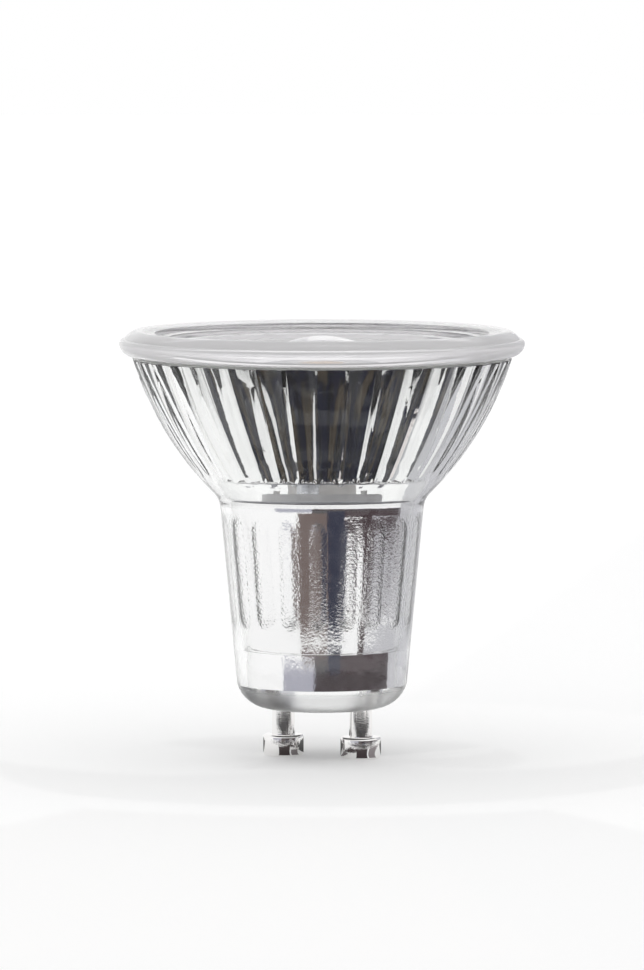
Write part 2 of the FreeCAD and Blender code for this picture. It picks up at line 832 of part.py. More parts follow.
def electrolytic_capacitor():
    """Tall round can with a rolled upper edge."""
    body = turned_body(
        "electrolytic_capacitor",
        [
            (None, "can_foot"),
            ("can_radius", "can_foot"),
            ("can_radius", "can_shoulder"),
            ("can_top_radius", "can_top"),
            (None, "can_top"),
        ],
    )
    place(body, "sizes.can_offset", "places.can_y")
    return body


def choke_core():
    """Ferrite drum, lying with its axis square to the board."""
    upright = [
        (None, "board_half"),
        ("drum_radius", "board_half"),
        ("drum_radius", "drum_near_flange"),
        ("drum_waist", "drum_near_flange"),
        ("drum_waist", "drum_far_flange"),
        ("drum_radius", "drum_far_flange"),
        ("drum_radius", "drum_far"),
        (None, "drum_far"),
    ]
    body = turned_body("choke_core", upright)
    body.Placement = Placement(Vector(), LYING)
    place(body, z="places.drum_z")
    return body


def choke_winding():
    body = turned_body(
        "choke_winding",
        [
            ("drum_waist", "drum_near_flange"),
            ("winding_radius", "drum_near_flange"),
            ("winding_radius", "drum_far_flange"),
            ("drum_waist", "drum_far_flange"),
        ],
    )
    body.Placement = Placement(Vector(), LYING)
    place(body, z="places.drum_z")
    return body


def driver_chip():
    """Eight-legged package, flat on the board."""
    case = box(
        "chip_case", "sizes.chip_width", "sizes.chip_depth - sizes.leg_thickness",
        "sizes.chip_length", "sizes.chip_offset - sizes.chip_width / 2", "-places.chip_y",
        "places.chip_foot",
    )
    legs = []
    for column in range(4):
        x = f"sizes.chip_offset + {column - 1.5} * sizes.leg_pitch - sizes.leg_width / 2"
        legs.append(
            box(
                f"chip_legs_{column + 1}", "sizes.leg_width", "sizes.leg_thickness * 2",
                "sizes.chip_length + 2 * sizes.leg_reach", x,
                "-places.board_half - 2 * sizes.leg_thickness",
                "places.chip_foot - sizes.leg_reach",
            )
        )
    return fused("driver_chip", [case] + legs)


def chip_resistors():
    """A short row of surface-mounted resistors."""
    row = []
    for index in range(3):
        z = f"places.board_top - sizes.board_margin - {index + 1} * sizes.resistor_pitch"
        row.append(
            box(
                f"chip_resistor_{index + 1}", "sizes.resistor_width", "sizes.resistor_depth",
                "sizes.resistor_length", "sizes.drum_radius + sizes.resistor_gap",
                "-places.board_half - sizes.resistor_depth", z,
            )
        )
    return group("chip_resistors", row)


LYING = Rotation(Vector(1, 0, 0), 90)

nodes = [
    glass_body(),
    front_lens(),
    lens_seal(),
    reflector_bowl(),
    heat_sink_sleeve(),
    drilled_disc("thermal_pad", "led_board_radius", "platform_top", "led_board_foot"),
    drilled_disc("led_board", "led_board_radius", "led_board_foot", "led_board_top"),
    led_emitter(),
    rod(
        "led_phosphor", "places.cavity_radius", "places.phosphor_height", "0", "0",
        "places.cavity_floor",
    ),
    led_board_screws(),
    insulating_liner(),
    liner_cap(),
    contact_pin("pin_left", -1),
    contact_pin("pin_right", 1),
    pin_washer("washer_left", -1),
    pin_washer("washer_right", 1),
    pin_lead("pin_lead_left", -1),
    pin_lead("pin_lead_right", 1),
    led_lead("led_lead_positive", 1),
    led_lead("led_lead_negative", -1),
    driver_board(),
    electrolytic_capacitor(),
    box(
        "film_capacitor", "sizes.film_width", "sizes.film_depth", "sizes.film_length",
        "-sizes.film_offset - sizes.film_width / 2", "places.board_half", "places.film_foot",
    ),
    rod(
        "fuse_resistor", "sizes.fuse_radius", "sizes.fuse_length", "-sizes.fuse_offset",
        "places.fuse_y", "places.fuse_foot",
    ),
    choke_core(),
    choke_winding(),
    box(
        "bridge_rectifier", "sizes.bridge_width", "sizes.bridge_depth", "sizes.bridge_length",
        "-sizes.bridge_offset - sizes.bridge_width / 2", "-places.bridge_y",
        "places.bridge_foot",
    ),
    driver_chip(),
    chip_resistors(),
]
doc.recompute()

faults = [item.Name for item in doc.Objects if {"Invalid", "Error"} & set(item.State)]
faults += [node.Label for node in nodes if node.Shape.isNull() or not node.Shape.isValid()]
if faults:
    raise RuntimeError(f"not built: {faults}")
for body in doc.findObjects("PartDesign::Body"):
    for cut in body.Group:
        if cut.isDerivedFrom("PartDesign::Pocket") or cut.isDerivedFrom("PartDesign::Groove"):
            if cut.Shape.Volume > cut.BaseFeature.Shape.Volume - 0.0001:
                raise RuntimeError(f"{cut.Name} cuts nothing")

os.makedirs("parts", exist_ok=True)
for node in nodes:
    node.Shape.exportStep(f"parts/{node.Label}.step")
    print(f"{node.Label}: {len(node.Shape.Solids)} solid, {node.Shape.Volume:.1f} cubic mm")
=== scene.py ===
import math

import bmesh
import bpy
from mathutils import Matrix, Vector


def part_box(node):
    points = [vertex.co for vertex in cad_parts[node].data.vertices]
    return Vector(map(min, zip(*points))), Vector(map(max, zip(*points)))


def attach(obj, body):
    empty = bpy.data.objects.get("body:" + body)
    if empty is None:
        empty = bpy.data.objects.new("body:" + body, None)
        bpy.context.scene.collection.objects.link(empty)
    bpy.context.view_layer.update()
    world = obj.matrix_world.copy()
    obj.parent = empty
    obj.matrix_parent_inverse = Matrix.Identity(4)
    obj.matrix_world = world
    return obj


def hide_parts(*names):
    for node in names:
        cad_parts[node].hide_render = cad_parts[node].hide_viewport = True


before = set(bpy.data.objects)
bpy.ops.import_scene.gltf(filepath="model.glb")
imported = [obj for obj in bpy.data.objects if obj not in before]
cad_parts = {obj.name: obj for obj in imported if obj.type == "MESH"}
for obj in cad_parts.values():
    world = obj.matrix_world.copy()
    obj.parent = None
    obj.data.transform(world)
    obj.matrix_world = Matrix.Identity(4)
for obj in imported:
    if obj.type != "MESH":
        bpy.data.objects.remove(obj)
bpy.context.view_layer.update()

# The glass body is one pressing: a thick floor with a stepped hole for each pin, a neck that widens
# upwards and a bowl. A ribbed mould leaves 36 hollow flutes round the bowl, and the plunger leaves
# 18 lobes in the bore of the neck. The skirt of the bore, below a small step, is smooth.

base = 0.0062
floor_top = base + 0.003
skirt_top = floor_top + 0.0044
neck_top = base + 0.0259
mouth = base + 0.0432
mouth_radius = 0.0234
neck_radius = 0.01265
base_radius = 0.0067
corner_radius, corner_head = 0.0105, base + 0.003
blend_foot_radius, blend_foot = 0.01255, 0.031
blend_head_radius, blend_head = 0.01342, 0.03284
bowl_curve = 0.040
bowl_floor = neck_top + 0.0005
mouth_bore = 0.0217
neck_bore = 0.01135
skirt_head_bore = 0.00955
skirt_bore = 0.0092
pin_offset = 0.005
flutes = 36
flute_foot = neck_top + 0.003
lobes = 18
lobe_half = 0.0013
lobe_depth = 0.00025
lobe_turn = math.radians(4.2)
lobe_foot = skirt_top + 0.0024
lobe_head = lobe_foot + 0.0147


def line(start, end, count):
    """Points along a straight stretch of an outline."""
    return [Vector(start).lerp(Vector(end), step / count) for step in range(count + 1)]


def arc(start, end, radius, bulge, count):
    """Points along a round stretch; a bulge of 1 keeps its centre on the left of the way."""
    start, end = Vector(start), Vector(end)
    along = end - start
    left = Vector((-along.y, along.x)).normalized() * bulge
    centre = (start + end) / 2 + left * math.sqrt(radius ** 2 - along.length_squared / 4)
    sweep = 2 * math.asin(along.length / 2 / radius) * bulge
    return [
        centre + Matrix.Rotation(sweep * step / count, 2) @ (start - centre)
        for step in range(count + 1)
    ]


def joined(*stretches):
    """One outline out of stretches that share their end points."""
    points = list(stretches[0])
    for stretch in stretches[1:]:
        points += stretch[1:]
    return points


def turned(name, outline, steps=180, pressed=None, centre=0.0):
    """A round piece: a half outline of (radius, height) points, spun into a closed shell."""
    shell = bmesh.new()
    rim = [shell.verts.new((point[0], 0, point[1])) for point in outline]
    edges = [shell.edges.new(pair) for pair in zip(rim, rim[1:])]
    if outline[0][0] > 1e-7:
        edges.append(shell.edges.new((rim[-1], rim[0])))
    bmesh.ops.spin(
        shell, geom=rim + edges, cent=(0, 0, 0), axis=(0, 0, 1), angle=math.tau, steps=steps,
        use_merge=True, use_duplicate=False,
    )
    bmesh.ops.remove_doubles(shell, verts=shell.verts, dist=1e-7)
    bmesh.ops.recalc_face_normals(shell, faces=shell.faces)
    if pressed:
        for vert in shell.verts:
            pressed(vert)
    bmesh.ops.translate(shell, verts=shell.verts, vec=(centre, 0, 0))
    return kept(name, shell)


def kept(name, shell):
    """The finished mesh as a piece of the bulb, smooth but for its real edges."""
    mesh = bpy.data.meshes.new(name)
    shell.to_mesh(mesh)
    shell.free()
    mesh.shade_smooth()
    mesh.set_sharp_from_angle(angle=math.radians(35))
    piece = bpy.data.objects.new(name, mesh)
    bpy.context.scene.collection.objects.link(piece)
    return piece


bowl_start = Vector((neck_radius, neck_top))
bowl_along = Vector((mouth_radius, mouth)) - bowl_start
bowl_centre = bowl_start + bowl_along / 2 + Vector(
    (-bowl_along.y, bowl_along.x)
).normalized() * math.sqrt(bowl_curve ** 2 - bowl_along.length_squared / 4)


def bowl_radius(height):
    return bowl_centre.x + math.sqrt(bowl_curve ** 2 - (height - bowl_centre.y) ** 2)


def bore_radius(height):
    rise = (height - skirt_top) / (bowl_floor - skirt_top)
    return skirt_head_bore + (neck_bore - skirt_head_bore) * rise


def press_glass(vert):
    """Sink a flute into the outside of the bowl or a lobe into the bore of the neck."""
    radius = math.hypot(vert.co.x, vert.co.y)
    height = vert.co.z
    if radius < 1e-6:
        return
    angle = math.atan2(vert.co.y, vert.co.x)
    sink = 0
    if height > flute_foot and radius > bowl_radius(height) - 2e-5:
        rise = (height - flute_foot) / (mouth - flute_foot)
        part = ((angle * flutes / math.tau + 0.5) % 1 - 0.5) * 2
        ramp = min(rise / 0.05, 1)
        sink = -(0.00016 + 0.00024 * rise) * (1 - (1 - ramp) ** 2) * (1 - part ** 2)
    elif lobe_foot < height < lobe_head and abs(radius - bore_radius(height)) < 2e-5:
        pitch = math.tau / lobes
        across = radius * ((angle - lobe_turn + pitch / 2) % pitch - pitch / 2)
        end = min(min(height - lobe_foot, lobe_head - height) / (1.6 * lobe_half), 1)
        reach = lobe_half * math.sqrt(1 - (1 - end) ** 2)
        if abs(across) < reach:
            sink = lobe_depth * end ** 2 * (3 - 2 * end) * (1 - (across / reach) ** 2) ** 1.5
    vert.co.xy = vert.co.xy * (1 + sink / radius)


bowl_heights = [blend_head + (mouth - blend_head) * step / 40 for step in range(41)]
glass_outline = joined(
    line((0, base), (base_radius, base), 4),
    arc((base_radius, base), (corner_radius, corner_head), 0.004, 1, 8),
    line((corner_radius, corner_head), (blend_foot_radius, blend_foot), 8),
    arc((blend_foot_radius, blend_foot), (blend_head_radius, blend_head), 0.003, -1, 6),
    [Vector((bowl_radius(height), height)) for height in bowl_heights],
    line((mouth_radius, mouth), (mouth_bore, mouth), 2),
    line((mouth_bore, mouth), (neck_bore, bowl_floor), 12),
    line((neck_bore, bowl_floor), (bore_radius(lobe_head), lobe_head), 3),
    line((bore_radius(lobe_head), lobe_head), (bore_radius(lobe_foot), lobe_foot), 50),
    line((bore_radius(lobe_foot), lobe_foot), (skirt_head_bore, skirt_top), 1),
    line((skirt_head_bore, skirt_top), (skirt_bore, skirt_top), 1),
    line((skirt_bore, skirt_top), (skirt_bore, floor_top), 4),
    line((skirt_bore, floor_top), (0, floor_top), 4),
)
glass_body = turned("glass_body_pressed", glass_outline, steps=360, pressed=press_glass)

pin_seat = base + 0.002
seat_radius, hole_radius, overrun = 0.0015, 0.0012, 0.001
pin_hole = [
    (0, base - overrun), (seat_radius, base - overrun), (seat_radius, pin_seat),
    (hole_radius, pin_seat), (hole_radius, floor_top + overrun), (0, floor_top + overrun),
]
for side in (-pin_offset, pin_offset):
    plug = turned("pin_hole_plug", pin_hole, steps=48, centre=side)
    hole = glass_body.modifiers.new("pin_hole", "BOOLEAN")
    hole.object = plug
    hole.solver = "EXACT"
    evaluated = glass_body.evaluated_get(bpy.context.evaluated_depsgraph_get())
    drilled = bpy.data.meshes.new_from_object(evaluated)
    glass_body.modifiers.clear()
    glass_body.data = drilled
    bpy.data.objects.remove(plug)
glass_body.data.set_sharp_from_angle(angle=math.radians(35))

bore_stipple = 0.22
full_stipple_depth = 0.00008
bore_skin = 0.0005
stipple = glass_body.data.attributes.new("stipple", "FLOAT", "POINT")
for index, vert in enumerate(glass_body.data.vertices):
    sunk = math.hypot(vert.co.x, vert.co.y) - bore_radius(vert.co.z)
    if lobe_foot < vert.co.z < lobe_head and abs(sunk) < bore_skin:
        stipple.data[index].value = min(bore_stipple + max(sunk, 0) / full_stipple_depth, 1)


def finish(name, **settings):
    """A new finish with the constants of its surface set on the shader's own sockets."""
    material = bpy.data.materials.new(name)
    material.use_nodes = True
    shader = material.node_tree.nodes["Principled BSDF"]
    for socket, value in settings.items():
        shader.inputs[socket.replace("_", " ")].default_value = value
    return material


def noise(material, scale, detail=3.0, stretch=(1, 1, 1)):
    """Noise on the piece's own coordinates; a stretch below 1 draws it out along that axis."""
    nodes, links = material.node_tree.nodes, material.node_tree.links
    place = nodes.new("ShaderNodeTexCoord")
    mapping = nodes.new("ShaderNodeMapping")
    mapping.inputs["Scale"].default_value = stretch
    grain = nodes.new("ShaderNodeTexNoise")
    grain.inputs["Scale"].default_value = scale
    grain.inputs["Detail"].default_value = detail
    links.new(place.outputs["Object"], mapping.inputs["Vector"])
    links.new(mapping.outputs["Vector"], grain.inputs["Vector"])
    return grain.outputs["Fac"]


def relief(material, heights, distance, strength=1.0):
    """Raise the surface by a pattern; a second call stacks its relief on the first."""
    nodes, links = material.node_tree.nodes, material.node_tree.links
    shader = nodes["Principled BSDF"]
    bump = nodes.new("ShaderNodeBump")
    bump.inputs["Strength"].default_value = strength
    bump.inputs["Distance"].default_value = distance
    if shader.inputs["Normal"].is_linked:
        links.new(shader.inputs["Normal"].links[0].from_socket, bump.inputs["Normal"])
    links.new(heights, bump.inputs["Height"])
    links.new(bump.outputs["Normal"], shader.inputs["Normal"])


def graded(material, socket, pattern, stops):
    """Drive a socket by a pattern through a ramp of (place, colour or grey) stops."""
    nodes, links = material.node_tree.nodes, material.node_tree.links
    ramp = nodes.new("ShaderNodeValToRGB")
    while len(ramp.color_ramp.elements) < len(stops):
        ramp.color_ramp.elements.new(0.5)
    for element, (position, colour) in zip(ramp.color_ramp.elements, stops):
        element.position = position
        element.color = (*colour, 1) if isinstance(colour, tuple) else (colour, colour, colour, 1)
    links.new(pattern, ramp.inputs["Fac"])
    links.new(ramp.outputs["Color"], nodes["Principled BSDF"].inputs[socket])


def combined(material, operation, first, second):
    """A math step on the outputs of two nodes; the second may be a plain float."""
    nodes, links = material.node_tree.nodes, material.node_tree.links
    step = nodes.new("ShaderNodeMath")
    step.operation = operation
    links.new(first, step.inputs[0])
    if isinstance(second, float):
        step.inputs[1].default_value = second
    else:
        links.new(second, step.inputs[1])
    return step.outputs[0]


# Clear soda glass, wavy from the mould and with a fine skin. The plunger stipples the bore, most in
# the lobes, and the floor stays dull where it isn't fire-polished.
pressed_glass = finish(
    "pressed_glass", Base_Color=(0.99, 0.995, 0.99, 1), Roughness=0.0, IOR=1.37,
    Transmission_Weight=1.0, Sheen_Weight=0.7, Sheen_Roughness=0.3,
)
relief(pressed_glass, noise(pressed_glass, 220), 0.00005)
relief(pressed_glass, noise(pressed_glass, 1100), 0.000004)
nodes, links = pressed_glass.node_tree.nodes, pressed_glass.node_tree.links
stippled = nodes.new("ShaderNodeAttribute")
stippled.attribute_name = "stipple"
grains = noise(pressed_glass, 3600, 2, (0.8, 0.8, 1))
relief(pressed_glass, combined(pressed_glass, "MULTIPLY", stippled.outputs["Fac"], grains), 0.00014)
place = nodes.new("ShaderNodeTexCoord")
upright = nodes.new("ShaderNodeSeparateXYZ")
links.new(place.outputs["Object"], upright.inputs[0])
rise = combined(pressed_glass, "MULTIPLY", upright.outputs["Z"], 20.0)
graded(pressed_glass, "Roughness", rise, [(0.17, 0.3), (0.19, 0.0)])
glass_body.data.materials.append(pressed_glass)
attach(glass_body, "root")
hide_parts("glass_body")

# The pins are nickelled brass: a thick foot that hooks under the lampholder's slot, a shank seated
# in the floor of the glass, and a thin neck riveted over a washer inside. Handling leaves fine
# scratches round them.

nickel = finish("nickel", Base_Color=(0.92, 0.91, 0.9, 1), Metallic=1.0, Roughness=0.1)
graded(nickel, "Roughness", noise(nickel, 1500, 4), [(0.3, 0.03), (0.7, 0.08)])
relief(nickel, noise(nickel, 2500, 3, (1, 1, 4)), 0.000004)
foot_radius, foot_height, foot_edge = 0.0025, 0.00265, 0.0003
foot_flat, foot_shoulder = foot_radius - foot_edge, foot_height - foot_edge
shank_radius, spigot_radius = 0.00145, 0.00115
washer_top = floor_top + 0.0004
rivet_radius, rivet_flat, rivet_top = 0.002, 0.0012, floor_top + 0.001
pin_outline = joined(
    line((0, 0), (foot_flat, 0), 2),
    arc((foot_flat, 0), (foot_radius, foot_edge), foot_edge, 1, 5),
    line((foot_radius, foot_edge), (foot_radius, foot_shoulder), 2),
    arc((foot_radius, foot_shoulder), (foot_flat, foot_height), foot_edge, 1, 5),
    line((foot_flat, foot_height), (shank_radius, foot_height), 1),
    line((shank_radius, foot_height), (shank_radius, pin_seat), 2),
    line((shank_radius, pin_seat), (spigot_radius, pin_seat), 1),
    line((spigot_radius, pin_seat), (spigot_radius, washer_top), 1),
    line((spigot_radius, washer_top), (rivet_radius, washer_top), 1),
    arc((rivet_radius, washer_top), (rivet_flat, rivet_top), 0.0009, 1, 4),
    line((rivet_flat, rivet_top), (0, rivet_top), 1),
)
for word, side in (("left", -pin_offset), ("right", pin_offset)):
    pin = turned(f"pin_{word}_turned", pin_outline, steps=72, centre=side)
    pin.data.materials.append(nickel)
    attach(pin, "root")
    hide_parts(f"pin_{word}")


def refinish(material, *names):
    """Give nodes of the model whose shape is right their real finish."""
    for node in names:
        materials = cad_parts[node].data.materials
        materials.clear()
        materials.append(material)


washer_steel = finish("washer_steel", Base_Color=(0.7, 0.7, 0.7, 1), Metallic=1.0, Roughness=0.3)
graded(washer_steel, "Roughness", noise(washer_steel, 1800, 4), [(0.3, 0.2), (0.7, 0.42)])
relief(washer_steel, noise(washer_steel, 4000, 2), 0.000006)
refinish(washer_steel, "washer_left", "washer_right")

# The heat sink is a deep-drawn aluminium sleeve that stands on the floor of the glass and fills its
# neck. Its closed end carries the light source. Drawing leaves a bright, finely grained skin with
# faint upright streaks, and the end is etched matt, with painted shade: its base colour is darkened
# to a grey lilac, as if shaded under the reflector.

low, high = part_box("heat_sink_sleeve")
inner_skirt, outer_skirt = 0.00835, 0.00895
end_wall = 0.0012
inner_end, inner_wall = (0.0098, high.z - end_wall), (0.01042, high.z - 0.0019)
skirt_head, wall_foot = (outer_skirt, skirt_top - 0.0001), (0.00896, skirt_top + 0.0001)
outer_wall, outer_end = (high.x - 0.00006, high.z - 0.0005), (high.x - 0.0005, high.z)
sleeve_outline = joined(
    line((0, high.z - end_wall), inner_end, 1),
    arc(inner_end, inner_wall, 0.0007, -1, 5),
    line(inner_wall, (inner_skirt, skirt_top), 12),
    line((inner_skirt, skirt_top), (inner_skirt, floor_top), 2),
    line((inner_skirt, floor_top), (outer_skirt, floor_top), 1),
    line((outer_skirt, floor_top), skirt_head, 2),
    line(skirt_head, wall_foot, 1),
    line(wall_foot, outer_wall, 12),
    arc(outer_wall, outer_end, 0.0005, 1, 5),
    line(outer_end, (0, high.z), 2),
)
sleeve = turned("heat_sink_sleeve_drawn", sleeve_outline)
drawn_aluminium = finish(
    "drawn_aluminium", Base_Color=(0.95, 0.94, 0.95, 1), Metallic=1.0, Roughness=0.16
)
graded(drawn_aluminium, "Roughness", noise(drawn_aluminium, 900, 3), [(0.35, 0.04), (0.65, 0.1)])
relief(drawn_aluminium, noise(drawn_aluminium, 3200, 3, (1, 1, 0.6)), 0.00001)
relief(drawn_aluminium, noise(drawn_aluminium, 700, 2, (1, 1, 0.08)), 0.00004)
# Painted shade: the etched end's grey lilac base colour stands in for the shade it lies in under
# the reflector; only its matt roughness is the real etch.
etched_aluminium_painted_shade = finish(
    "etched_aluminium_painted_shade", Base_Color=(0.46, 0.46, 0.5, 1), Metallic=0.3, Roughness=0.5
)
graded(etched_aluminium_painted_shade, "Roughness", noise(etched_aluminium_painted_shade, 1200, 3), [(0.3, 0.42), (0.7, 0.6)])
relief(etched_aluminium_painted_shade, noise(etched_aluminium_painted_shade, 3000, 3), 0.00001)
sleeve.data.materials.append(drawn_aluminium)
sleeve.data.materials.append(etched_aluminium_painted_shade)
# The faces of the closed end get the material with the painted shade.
for face in sleeve.data.polygons:
    if face.center.z > high.z - 0.0004:
        face.material_index = 1
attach(sleeve, "root")
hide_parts("heat_sink_sleeve")

# The reflector is a cone of bright spun aluminium with a narrow turned-in foot. It stands between
# the bowl and the lens, just inside the glass, so it shows silver through the flutes. Its ribs
# stand behind the flutes.

low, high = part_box("reflector_bowl")
foot, rim = low.z, high.z + 0.001
rim_radius = high.x + 0.0006
rib_depth = 0.2
lip, heel, sheet_wall = 0.0117, 0.0123, 0.0004
outer_heel, inner_heel = (0.0129, foot + 0.0003), (0.0127, foot + 0.00062)
reflector_outline = joined(
    line((lip, foot), (heel, foot), 1),
    arc((heel, foot), outer_heel, 0.0006, 1, 4),
    line(outer_heel, (rim_radius, rim), 24),
    line((rim_radius, rim), (rim_radius - sheet_wall, rim), 1),
    line((rim_radius - sheet_wall, rim), inner_heel, 24),
    arc(inner_heel, (heel, foot + sheet_wall), 0.0005, -1, 3),
    line((heel, foot + sheet_wall), (lip, foot + sheet_wall), 1),
)


def press_reflector(vert):
    """Fold the cone into the shallow ribs, with their ridges towards the glass."""
    radius = math.hypot(vert.co.x, vert.co.y)
    if vert.co.z > foot + 0.0002:
        part = ((math.atan2(vert.co.y, vert.co.x) * flutes / math.tau + 0.5) % 1 - 0.5) * 2
        fold = rib_depth * (1 - part ** 2) * radius * math.pi / flutes
        vert.co.xy = vert.co.xy * (1 - fold / radius)


reflector = turned("reflector_bowl_spun", reflector_outline, steps=432, pressed=press_reflector)
bright_aluminium = finish(
    "bright_aluminium", Base_Color=(0.95, 0.95, 0.95, 1), Metallic=1.0, Roughness=0.05
)
relief(bright_aluminium, noise(bright_aluminium, 300, 2), 0.000005)
reflector.data.materials.append(bright_aluminium)
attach(reflector, "root")
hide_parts("reflector_bowl")

# The lens is one clear polycarbonate moulding glued over the mouth on a silicone ring. It has a
# rolled rim, milky from the thick plastic, stepped rings down to a sunk face, a small dome over the
# light source, and a spigot inside that centres it in the glass.

lens_base = mouth + 0.0003
edge = mouth_radius + 0.00005
bead = Vector((edge + 0.00155, lens_base + 0.0016))
ridge = bead + Vector((-0.00065, 0.0005))
crest = ridge + Vector((-0.00135, 0.00105))
spigot_bore, spigot_tip, spigot_root = 0.0189, 0.0196, 0.0199
spigot_foot = lens_base - 0.0014
first_step, second_step, face_radius, dome_radius = 0.0206, 0.0189, 0.0171, 0.0056
face_height = crest.y - 0.002
lens_outline = joined(
    line((0, lens_base), (spigot_bore, lens_base), 10),
    line((spigot_bore, lens_base), (spigot_bore, spigot_foot), 1),
    line((spigot_bore, spigot_foot), (spigot_tip, spigot_foot), 1),
    line((spigot_tip, spigot_foot), (spigot_root, lens_base), 1),
    line((spigot_root, lens_base), (edge, lens_base), 1),
    arc((edge, lens_base), bead, 0.0017, 1, 12),
    arc(bead, ridge, 0.0006, 1, 6),
    arc(ridge, crest, 0.0022, 1, 10),
    line(crest, (first_step, crest.y - 0.0003), 4),
    line((first_step, crest.y - 0.0003), (first_step, crest.y - 0.0006), 1),
    line((first_step, crest.y - 0.0006), (second_step, crest.y - 0.0009), 2),
    line((second_step, crest.y - 0.0009), (second_step, crest.y - 0.0012), 1),
    line((second_step, crest.y - 0.0012), (face_radius, crest.y - 0.0015), 2),
    line((face_radius, crest.y - 0.0015), (face_radius, face_height), 1),
    line((face_radius, face_height), (dome_radius, face_height), 6),
    arc((dome_radius, face_height), (0, crest.y - 0.0007), 0.0127, 1, 10),
)
front_lens = turned("front_lens_moulded", lens_outline)
lens_plastic = finish(
    "lens_plastic", Base_Color=(0.99, 0.98, 0.995, 1), Roughness=0.04, IOR=1.42,
    Transmission_Weight=0.78, Sheen_Weight=0.4, Sheen_Roughness=0.3,
)
relief(lens_plastic, noise(lens_plastic, 300), 0.00002)
nodes, links = lens_plastic.node_tree.nodes, lens_plastic.node_tree.links
place = nodes.new("ShaderNodeTexCoord")
flat = nodes.new("ShaderNodeMapping")
flat.inputs["Scale"].default_value = (40, 40, 0)
reach = nodes.new("ShaderNodeVectorMath")
reach.operation = "LENGTH"
links.new(place.outputs["Object"], flat.inputs["Vector"])
links.new(flat.outputs["Vector"], reach.inputs[0])
graded(lens_plastic, "Transmission Weight", reach.outputs["Value"], [(0.86, 0.95), (0.93, 0.52)])
front_lens.data.materials.append(lens_plastic)
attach(front_lens, "root")
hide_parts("front_lens")

silicone = finish(
    "silicone", Base_Color=(0.8, 0.81, 0.78, 1), Roughness=0.45, Transmission_Weight=0.4, IOR=1.41
)
graded(silicone, "Roughness", noise(silicone, 900), [(0.3, 0.35), (0.7, 0.6)])
relief(silicone, noise(silicone, 1600), 0.00001)
refinish(silicone, "lens_seal")

# The light source is a phosphor-filled ceramic block on a white board, screwed down on a soft
# thermal pad. Two leads come up through the sleeve beside it.

phosphor = finish("phosphor", Base_Color=(0.95, 0.6, 0.3, 1), Roughness=0.55)
graded(
    phosphor, "Base Color", noise(phosphor, 2500, 4),
    [(0.3, (0.95, 0.5, 0.16)), (0.7, (0.99, 0.66, 0.3))],
)
relief(phosphor, noise(phosphor, 5000, 3), 0.00001)
refinish(phosphor, "led_phosphor")
ceramic = finish("ceramic", Base_Color=(0.9, 0.89, 0.86, 1), Roughness=0.4)
graded(
    ceramic, "Base Color", noise(ceramic, 1500, 4),
    [(0.3, (0.92, 0.91, 0.88)), (0.7, (0.96, 0.95, 0.93))],
)
relief(ceramic, noise(ceramic, 4000, 3), 0.000006)
refinish(ceramic, "led_emitter")
white_board = finish("white_board", Base_Color=(0.88, 0.88, 0.87, 1), Roughness=0.35)
graded(
    white_board, "Base Color", noise(white_board, 400, 3),
    [(0.35, (0.93, 0.93, 0.92)), (0.65, (0.97, 0.97, 0.96))],
)
relief(white_board, noise(white_board, 3000, 2), 0.000006)
refinish(white_board, "led_board")
pad_grey = finish("pad_grey", Base_Color=(0.5, 0.54, 0.6, 1), Roughness=0.7)
graded(
    pad_grey, "Base Color", noise(pad_grey, 1200, 3),
    [(0.3, (0.44, 0.48, 0.55)), (0.7, (0.56, 0.6, 0.66))],
)
relief(pad_grey, noise(pad_grey, 3000, 3), 0.00002)
refinish(pad_grey, "thermal_pad")
zinc = finish("zinc", Base_Color=(0.72, 0.73, 0.76, 1), Metallic=1.0, Roughness=0.28)
graded(zinc, "Roughness", noise(zinc, 2500, 4), [(0.3, 0.2), (0.7, 0.4)])
relief(zinc, noise(zinc, 5000, 2), 0.000008)
refinish(zinc, "led_board_screws")
for name, dark, pale, leads in (
    ("white_wire", (0.8, 0.8, 0.78), (0.9, 0.9, 0.89), ("led_lead_positive", "led_lead_negative")),
    ("clear_wire", (0.7, 0.72, 0.74), (0.84, 0.85, 0.86), ("pin_lead_left", "pin_lead_right")),
):
    wire = finish(name, Roughness=0.35)
    graded(wire, "Base Color", noise(wire, 1500, 3), [(0.3, dark), (0.7, pale)])
    relief(wire, noise(wire, 3000, 2), 0.00001)
    refinish(wire, *leads)

# The driver stands in a white plastic liner that keeps it clear of the sleeve. Its board slides
# between rails, and the parts on it are ordinary ones.

liner_plastic = finish("liner_plastic", Base_Color=(0.85, 0.85, 0.84, 1), Roughness=0.45)
graded(liner_plastic, "Roughness", noise(liner_plastic, 800, 3), [(0.3, 0.38), (0.7, 0.55)])
relief(liner_plastic, noise(liner_plastic, 2500, 3), 0.00001)
refinish(liner_plastic, "insulating_liner", "liner_cap")
for name, dark, pale, roughness, grain, node in (
    ("green_board", (0.02, 0.14, 0.06), (0.05, 0.24, 0.1), 0.35, 700, "driver_board"),
    ("can_sleeve", (0.02, 0.02, 0.04), (0.04, 0.04, 0.07), 0.3, 900, "electrolytic_capacitor"),
    ("film_case", (0.5, 0.08, 0.04), (0.64, 0.13, 0.07), 0.3, 500, "film_capacitor"),
    ("fuse_body", (0.32, 0.38, 0.24), (0.42, 0.47, 0.32), 0.5, 1500, "fuse_resistor"),
    ("ferrite", (0.05, 0.05, 0.055), (0.11, 0.11, 0.12), 0.6, 2500, "choke_core"),
    ("copper_wire", (0.5, 0.2, 0.07), (0.72, 0.36, 0.16), 0.3, 1200, "choke_winding"),
    ("rectifier_epoxy", (0.02, 0.02, 0.022), (0.05, 0.05, 0.055), 0.55, 3000, "bridge_rectifier"),
    ("chip_epoxy", (0.02, 0.02, 0.022), (0.05, 0.05, 0.055), 0.5, 3500, "driver_chip"),
    ("resistor_glaze", (0.03, 0.03, 0.035), (0.08, 0.08, 0.09), 0.4, 3500, "chip_resistors"),
):
    surface = finish(name, Roughness=roughness)
    graded(surface, "Base Color", noise(surface, grain, 4), [(0.3, dark), (0.7, pale)])
    relief(surface, noise(surface, grain * 2, 2), 0.00001)
    refinish(surface, node)

